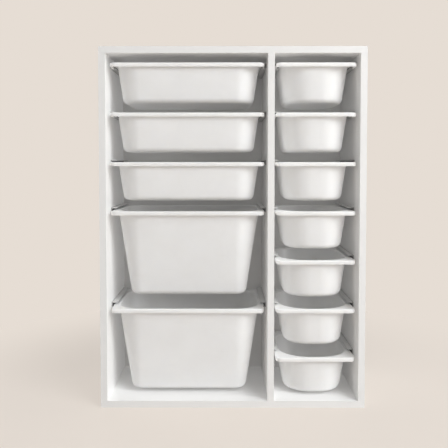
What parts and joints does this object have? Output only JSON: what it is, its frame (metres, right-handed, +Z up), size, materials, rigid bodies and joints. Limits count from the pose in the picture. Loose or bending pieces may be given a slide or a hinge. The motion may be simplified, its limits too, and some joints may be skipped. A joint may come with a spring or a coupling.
{
  "type": "toy storage organizer with bins",
  "caption": "Low white storage cabinet for toys, with a wide and a narrow column of plastic bins that slide forward in rails.",
  "frame": {"origin": "middle of the footprint, on the floor", "axes": "+X to the right seen from the front, +Y from the front to the back, +Z up"},
  "size_m": [0.727, 0.3, 0.989],
  "materials": {
    "laminated_board": "white melamine laminate, satin, on particle board",
    "back_board": "white painted hardboard",
    "bin_plastic": "white moulded polypropylene, satin",
    "rail_plastic": "white moulded plastic, satin",
    "dowel_wood": "plain beech",
    "zinc_steel": "zinc plated"
  },
  "bodies": {
    "cabinet": {"left_side_panel": "laminated_board", "right_side_panel": "laminated_board", "divider_panel": "laminated_board", "top_panel": "laminated_board", "bottom_panel": "laminated_board", "back_panel": "back_board", "dowels": "dowel_wood", "assembly_screws": "zinc_steel", "back_panel_nails": "zinc_steel", "bracket_screws": "zinc_steel", "left_wall_bracket": "zinc_steel", "right_wall_bracket": "zinc_steel", "wide_rail_row_1_left": "rail_plastic", "wide_rail_row_1_right": "rail_plastic", "wide_rail_row_2_left": "rail_plastic", "wide_rail_row_2_right": "rail_plastic", "wide_rail_row_3_left": "rail_plastic", "wide_rail_row_3_right": "rail_plastic", "wide_rail_row_4_left": "rail_plastic", "wide_rail_row_4_right": "rail_plastic", "wide_rail_row_6_left": "rail_plastic", "wide_rail_row_6_right": "rail_plastic", "narrow_rail_row_1_left": "rail_plastic", "narrow_rail_row_1_right": "rail_plastic", "narrow_rail_row_2_left": "rail_plastic", "narrow_rail_row_2_right": "rail_plastic", "narrow_rail_row_3_left": "rail_plastic", "narrow_rail_row_3_right": "rail_plastic", "narrow_rail_row_4_left": "rail_plastic", "narrow_rail_row_4_right": "rail_plastic", "narrow_rail_row_5_left": "rail_plastic", "narrow_rail_row_5_right": "rail_plastic", "narrow_rail_row_6_left": "rail_plastic", "narrow_rail_row_6_right": "rail_plastic", "narrow_rail_row_7_left": "rail_plastic", "narrow_rail_row_7_right": "rail_plastic"},
    "wide_row_1": {"wide_bin_row_1": "bin_plastic"},
    "wide_row_2": {"wide_bin_row_2": "bin_plastic"},
    "wide_row_3": {"wide_bin_row_3": "bin_plastic"},
    "wide_row_4": {"wide_bin_row_4": "bin_plastic"},
    "wide_row_6": {"wide_bin_row_6": "bin_plastic"},
    "narrow_row_1": {"narrow_bin_row_1": "bin_plastic"},
    "narrow_row_2": {"narrow_bin_row_2": "bin_plastic"},
    "narrow_row_3": {"narrow_bin_row_3": "bin_plastic"},
    "narrow_row_4": {"narrow_bin_row_4": "bin_plastic"},
    "narrow_row_5": {"narrow_bin_row_5": "bin_plastic"},
    "narrow_row_6": {"narrow_bin_row_6": "bin_plastic"},
    "narrow_row_7": {"narrow_bin_row_7": "bin_plastic"}
  },
  "joints": [
    {"name": "wide_row_1_slide", "type": "slide", "parent": "cabinet", "child": "wide_row_1", "axis": [0, -1, 0], "range_m": [0, 0.201]},
    {"name": "wide_row_2_slide", "type": "slide", "parent": "cabinet", "child": "wide_row_2", "axis": [0, -1, 0], "range_m": [0, 0.201]},
    {"name": "wide_row_3_slide", "type": "slide", "parent": "cabinet", "child": "wide_row_3", "axis": [0, -1, 0], "range_m": [0, 0.201]},
    {"name": "wide_row_4_slide", "type": "slide", "parent": "cabinet", "child": "wide_row_4", "axis": [0, -1, 0], "range_m": [0, 0.201]},
    {"name": "wide_row_6_slide", "type": "slide", "parent": "cabinet", "child": "wide_row_6", "axis": [0, -1, 0], "range_m": [0, 0.201]},
    {"name": "narrow_row_1_slide", "type": "slide", "parent": "cabinet", "child": "narrow_row_1", "axis": [0, -1, 0], "range_m": [0, 0.201]},
    {"name": "narrow_row_2_slide", "type": "slide", "parent": "cabinet", "child": "narrow_row_2", "axis": [0, -1, 0], "range_m": [0, 0.201]},
    {"name": "narrow_row_3_slide", "type": "slide", "parent": "cabinet", "child": "narrow_row_3", "axis": [0, -1, 0], "range_m": [0, 0.201]},
    {"name": "narrow_row_4_slide", "type": "slide", "parent": "cabinet", "child": "narrow_row_4", "axis": [0, -1, 0], "range_m": [0, 0.201]},
    {"name": "narrow_row_5_slide", "type": "slide", "parent": "cabinet", "child": "narrow_row_5", "axis": [0, -1, 0], "range_m": [0, 0.201]},
    {"name": "narrow_row_6_slide", "type": "slide", "parent": "cabinet", "child": "narrow_row_6", "axis": [0, -1, 0], "range_m": [0, 0.201]},
    {"name": "narrow_row_7_slide", "type": "slide", "parent": "cabinet", "child": "narrow_row_7", "axis": [0, -1, 0], "range_m": [0, 0.201]}
  ]
}
